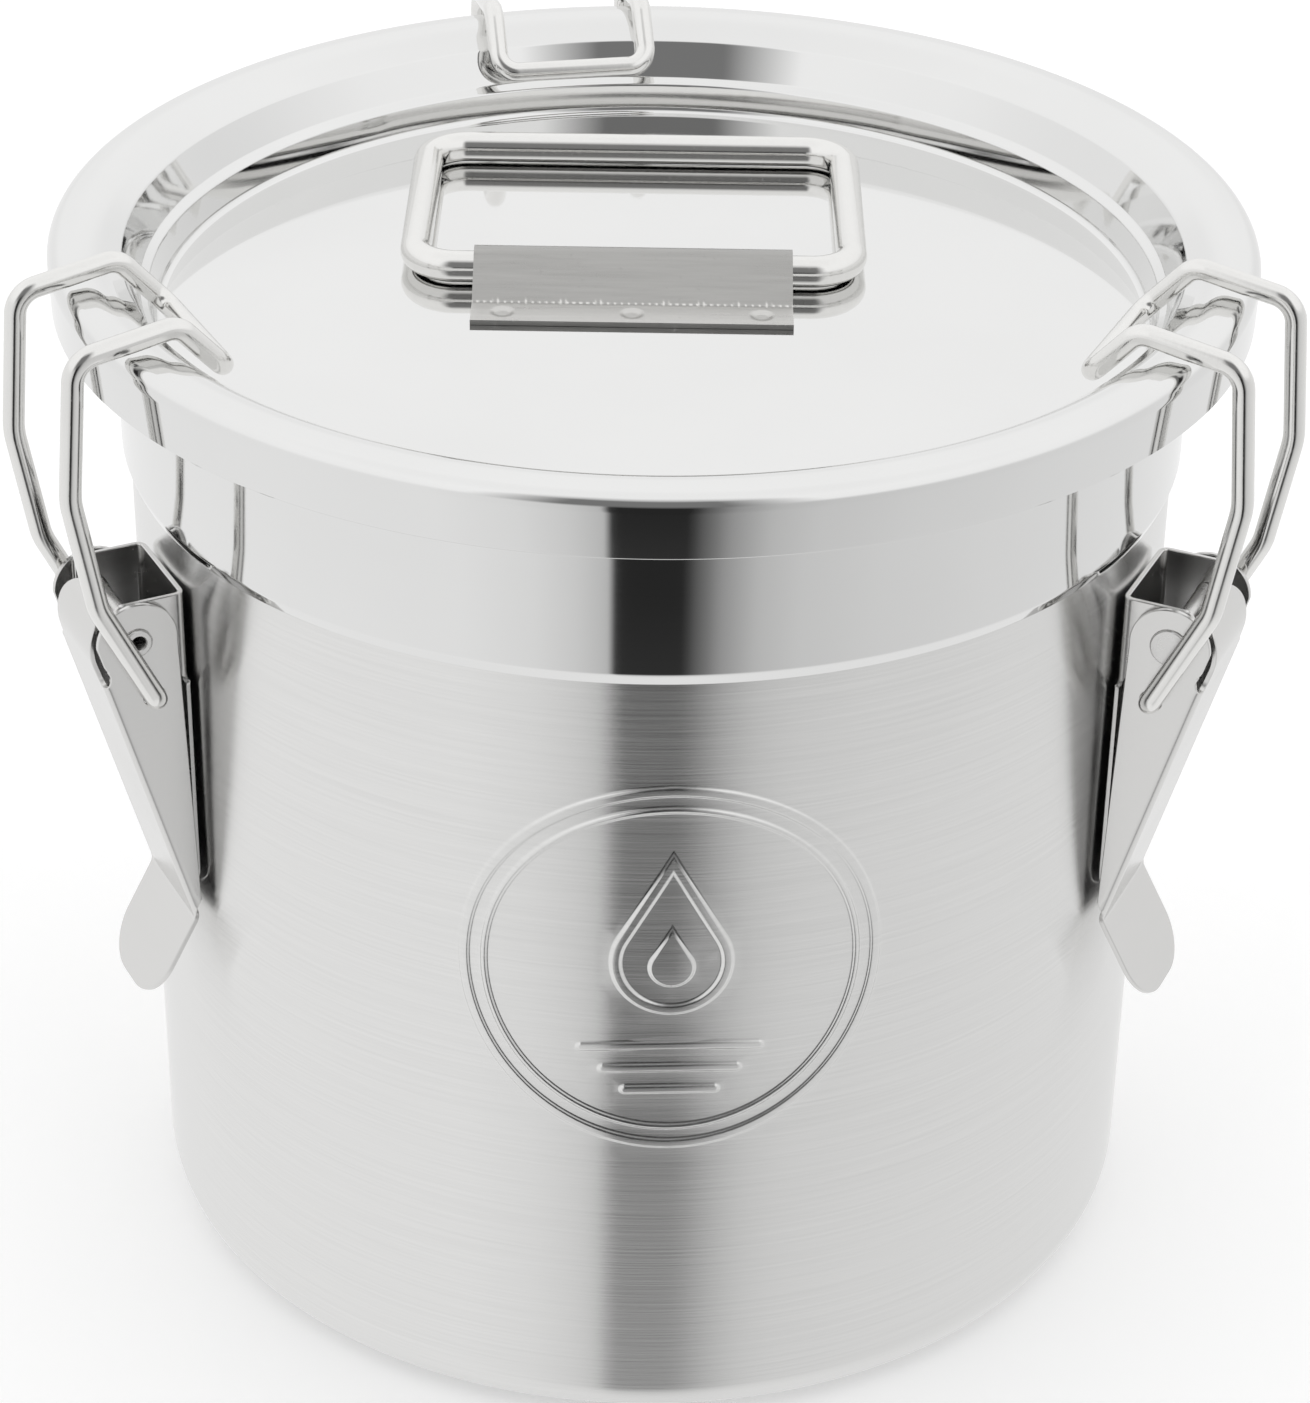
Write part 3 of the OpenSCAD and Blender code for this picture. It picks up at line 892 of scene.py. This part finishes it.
def lever_outline():
    """Half of the blank's outline, from the tab's end on the middle line up to the nose's tip."""
    length = (TAB_FOLD - TAB_END).length
    half = rounded([(0, -length, 0), (TAB_HALF, -length, 9), (TAB_HALF, -1.0, 0)], 6)
    half += [(TAB_HALF + 0.1, 0.3)]
    half += [flange_flat(*p) for p in ((101.9, 88.2), (100.9, 90.2))]
    top = polar(PIVOT, FLANGE_R, 187)
    half += [flange_flat(*top)]
    head = arc(PIVOT.x, PIVOT.y, FLANGE_R, 187, -41, 6)
    bend_end = FLAT + WRAP + 0.06
    half += [(max(bend_end, u), v) for u, v in (flange_flat(*p) for p in head[1:])]
    slot_u, slot_v = LEVER_W / 2 - 0.9, CREASE - SLOT_BACK
    half += arc(slot_u, slot_v, SLOT_R, 20, -180, 12)
    half += rounded([(TONGUE_HALF, slot_v + 1.5, 0), (TONGUE_HALF, NOSE_TIP, 6.5), (0, NOSE_TIP, 0)], 6)
    return half


def hole(centre, r):
    """Loop on the lever's blank of a round hole in its flange."""
    step = 360 / 28
    return [flange_flat(*p) for p in arc(centre.x, centre.y, r, 0, 360 - step, step)]


def mirrored(points):
    return [(-u, v) for u, v in points][::-1]


def lever_sheet():
    """Channel with a rolled nose and a flared thumb tab, folded from one blank."""
    half = lever_outline()
    outline = half + [p for p in mirrored(half) if abs(p[0]) > 1e-6]
    holes = []
    for centre, r in ((PIVOT, RIVET_D / 2 + 0.1), (BAIL_HOLE, BAIL_WIRE / 2 + 0.1)):
        loop = hole(centre, r)
        holes += [loop, mirrored(loop)]
    us = [0, 3, 6, 9, FLAT - 0.4] + [FLAT + WRAP * k / 5 for k in range(6)]
    us += [FLAT + WRAP + d for d in (0.5, 2, 4, 7, 10, 13, 16)]
    us = sorted({-u for u in us} | set(us))
    vs = spaced(-19, -3, 2) + spaced(-1.6, 1.6, 0.3) + spaced(3, CREASE - 2, 2.4)
    vs += spaced(CREASE - 1.2, NOSE_TIP, 0.6)
    return blank(outline, holes, us, vs, lever_fold, SHEET)


EAR_R = 2.0           # outer bend radius between back plate and ears
BACK_X = BODY_R + 0.3
BACK_FLAT = BRACKET_W / 2 - EAR_R
EAR_FRONT = 114.2
EAR_FOOT = 140.0
BRACKET_TOP = 156.4
BRACKET_FOOT = 91.0


def bracket_fold(u, v):
    """Place on the folded bracket of a point of its blank; v is the height."""
    side = 1 if u >= 0 else -1
    a = abs(u)
    wrap = EAR_R * math.pi / 2
    bend = smooth(EAR_FOOT - 2.5, EAR_FOOT - 0.5, v) if a > BACK_FLAT else 0.0
    if a <= BACK_FLAT:
        return BACK_X, side * a, v
    if a > BACK_FLAT + wrap:
        return BACK_X + EAR_R + a - BACK_FLAT - wrap, side * BRACKET_W / 2, v
    angle = (a - BACK_FLAT) / EAR_R
    x = EAR_R * (1 - math.cos(angle))
    y = BACK_FLAT + EAR_R * math.sin(angle)
    return BACK_X + x * bend, side * (y * bend + a * (1 - bend)), v


def bracket_sheet():
    """Back plate with a long foot, and two ears folded forward."""
    wrap = EAR_R * math.pi / 2
    reach = BACK_FLAT + wrap + EAR_FRONT - BACK_X - EAR_R
    w = BRACKET_W / 2
    half = rounded([(0, BRACKET_FOOT, 0), (w, BRACKET_FOOT, 6), (w, EAR_FOOT - 3, 0.8),
                    (w + 1.2, EAR_FOOT, 0.8), (reach, EAR_FOOT, 4), (reach, BRACKET_TOP, 2),
                    (0, BRACKET_TOP, 0)], 8)
    outline = half + [p for p in mirrored(half) if abs(p[0]) > 1e-6]
    u0 = BACK_FLAT + wrap + PIVOT.x - BACK_X - EAR_R
    loop = arc(u0, PIVOT.y, RIVET_D / 2 + 0.03, 0, 346, 14)
    us = [0, 3, 6, BACK_FLAT] + [BACK_FLAT + wrap * k / 6 for k in range(7)]
    us += [BACK_FLAT + wrap + d for d in (2, 5, 8, 11)]
    us = sorted({-u for u in us} | set(us))
    vs = spaced(92, 136, 4) + spaced(137, 141, 0.5) + spaced(143, 156, 2)
    return blank(outline, [loop, mirrored(loop)], us, vs, bracket_fold, SHEET, side=1)


# Bends of a bail's leg from the crossbar down (x, z, radius): hook, crest, shoulder, knee and elbow
BAIL_BENDS = [(91.6, 201.4, 4), (100.6, 211.7, 4), (119.9, 208.7, 5), (122.2, 182, 15), (118.4, 159.4, 12)]


def bail(side):
    """Wire loop from one bent-in end, up a leg, along the crossbar and down to the other end."""
    half = BAIL_W / 2
    end = BRACKET_W / 2 - 1.7
    bends = BAIL_BENDS + [(BAIL_HOLE.x, BAIL_HOLE.y, 3)]
    down = [((x, -half, z), r) for x, z, r in bends]
    up = [((x, half, z), r) for x, z, r in bends[::-1]]
    run = [((BAIL_HOLE.x, end, BAIL_HOLE.y), 0)] + up + down + [((BAIL_HOLE.x, -end, BAIL_HOLE.y), 0)]
    path = rounded_wire([place for place, _ in run], [r for _, r in run], 5)
    verts, faces = tube(path, BAIL_WIRE, sides=32)
    return make(side + "_bail_wire", verts, faces, WIRE, "wire_steel", side + "_bail",
                [side + "_latch_bail"], 50, latch_azimuth(side))


HEAD_R = 3.7
HEAD_H = 0.5
ROLLED_R = 2.9
BORE_R = 1.15


def rivet(side):
    """Tubular rivet: a domed flat head at one end, the other end hollow and rolled over."""
    reach = LEVER_W / 2 + 0.05
    r = RIVET_D / 2
    top = reach + HEAD_H
    head = rounded([(0, top, 0), (HEAD_R, top, 0.4), (HEAD_R, reach, 0), (r, reach, 0)], 15)
    rolled = rounded([(r, -reach, 0), (ROLLED_R, -reach, 0.25), (2.6, -top, 0.45), (1.5, -top, 0.3),
                      (1.2, -reach + 0.4, 0), (BORE_R, -reach + 10, 0), (0, -reach + 10.5, 0)], 15)
    verts, faces = lathe(head + rolled, [2 * math.pi * k / 48 for k in range(48)])
    place = Matrix.Translation(Vector((PIVOT.x, 0, PIVOT.y))) @ Matrix.Rotation(math.pi / 2, 4, "X")
    verts = [place @ Vector(v) for v in verts]
    return make(side + "_rivet_pin", verts, faces, RIVET, "rivet_steel", "drum", [side + "_latch_rivet"],
                35, latch_azimuth(side))


drum()
collar()
lid()
gasket()
handle()
clip()
bracket_piece = bracket_sheet()
lever_piece = lever_sheet()
for name in SIDES:
    place = latch_azimuth(name)
    make(name + "_bracket_plate", *bracket_piece, BRACKET, "bracket_steel", "drum",
         [name + "_latch_bracket"], 30, place)
    make(name + "_lever_plate", *lever_piece, LATCH, "latch_steel", name + "_lever",
         [name + "_latch_lever"], 30, place)
    bail(name)
    rivet(name)


# ---------------------------------------------------------------- camera, floor and light

CAMERA_ELEVATION = math.radians(30.74)
CAMERA_DISTANCE = 0.7835
CAMERA_ROLL = math.radians(0.91)
CAMERA_LENS = 99.74
AIM = Vector((0.00147, 0, 0.10189))


def camera():
    """Long lens from in front and above, a little rolled."""
    ahead = Vector((0, math.cos(CAMERA_ELEVATION), -math.sin(CAMERA_ELEVATION)))
    right = Vector((1, 0, 0))
    up = right.cross(ahead)
    x = right * math.cos(CAMERA_ROLL) + up * math.sin(CAMERA_ROLL)
    y = up * math.cos(CAMERA_ROLL) - right * math.sin(CAMERA_ROLL)
    data = bpy.data.cameras.new("camera")
    data.lens = CAMERA_LENS
    data.clip_start = 0.01
    obj = bpy.data.objects.new("camera", data)
    turn = Matrix((x, y, -ahead)).transposed().to_4x4()
    obj.matrix_world = Matrix.Translation(AIM - ahead * CAMERA_DISTANCE) @ turn
    bpy.context.scene.collection.objects.link(obj)
    bpy.context.scene.camera = obj


def floor():
    """A pale floor, lit evenly. The steel reflects the studio instead of it."""
    mesh = bpy.data.meshes.new("floor")
    half = 6.0
    mesh.from_pydata([(-half, -half, 0), (half, -half, 0), (half, half, 0), (-half, half, 0)], [],
                     [(0, 1, 2, 3)])
    obj = bpy.data.objects.new("floor", mesh)
    bpy.context.scene.collection.objects.link(obj)
    mat = bpy.data.materials.new("floor")
    mat.use_nodes = True
    shader = mat.node_tree.nodes["Principled BSDF"]
    shader.inputs["Base Color"].default_value = (0.9, 0.9, 0.9, 1)
    shader.inputs["Roughness"].default_value = 0.9
    shader.inputs["Specular IOR Level"].default_value = 0.0
    shader.inputs["Emission Color"].default_value = (1, 1, 1, 1)
    shader.inputs["Emission Strength"].default_value = 0.25
    mesh.materials.append(mat)
    obj.location.z = -0.0002
    obj.visible_glossy = False


def studio():
    """Soft white studio as a world: bright all round, with the dark strip of the camera's stand in front."""
    world = bpy.data.worlds.new("studio")
    bpy.context.scene.world = world
    world.use_nodes = True
    n = Nodes(world.node_tree)
    back = world.node_tree.nodes["Background"]
    direction = n.add("ShaderNodeTexCoord").outputs["Generated"]
    parts = n.add("ShaderNodeSeparateXYZ")
    n.link(direction, parts.inputs[0])
    x, y, z = parts.outputs
    azimuth = n.maths("ARCTAN2", x, n.maths("MULTIPLY", y, -1.0))
    turn = n.maths("ADD", n.maths("DIVIDE", azimuth, 2 * math.pi), 0.5)

    def at(degrees):
        return 0.5 + degrees / 360

    # Brightness round the can below the horizon; 0 degrees is towards the camera
    ring = n.ramp(turn, [(at(-180), 0.95), (at(-90), 0.92), (at(-40), 0.89), (at(-24), 0.81),
                         (at(-15), 0.70), (at(-8.1), 0.56), (at(-7.0), 0.022), (at(7.6), 0.022),
                         (at(9.8), 0.11), (at(12.4), 0.20), (at(15), 0.33), (at(23), 0.56),
                         (at(32), 0.66), (at(50), 0.73), (at(77), 0.79), (at(120), 0.86), (at(179.9), 0.95)])
    # The strip pales towards the floor under the can, and ends a little above the horizon
    height = n.maths("ADD", n.maths("MULTIPLY", z, 0.5), 0.5)

    def up(degrees):
        return 0.5 + 0.5 * math.sin(math.radians(degrees))

    over = n.ramp(height, [(up(-70), 1.0), (up(-52), 0.84), (up(-42), 0.44), (up(-37), 0.15),
                           (up(-33), 0.015), (up(-30), 0.0), (up(8), 0.0), (up(20), 1.0)])
    sky = n.ramp(height, [(up(-90), 0.90), (up(-30), 0.98), (up(0), 0.9), (up(25), 1.02), (up(50), 1.04),
                          (up(90), 1.0)])
    # Above the horizon the room behind the camera is dim, between the lamps
    room = n.ramp(turn, [(at(-34), 0.0), (at(-16), 1.0), (at(14), 1.0), (at(32), 0.0)])
    reach = n.ramp(height, [(up(-10), 0.0), (up(4), 1.0), (up(48), 1.0), (up(72), 0.0)])
    dim = n.maths("SUBTRACT", 1.0, n.maths("MULTIPLY", n.maths("MULTIPLY", room, reach), 0.8))
    lit = n.maths("MULTIPLY", sky, dim)
    mix = n.add("ShaderNodeMix", data_type="RGBA")
    n.link(over, mix.inputs[0])
    n.link(ring, mix.inputs[6])
    n.link(lit, mix.inputs[7])
    n.link(mix.outputs[2], back.inputs["Color"])
    back.inputs["Strength"].default_value = 1.0


camera()
floor()
studio()
bpy.context.scene.view_settings.view_transform = "Standard"
bpy.context.scene.view_settings.look = "None"
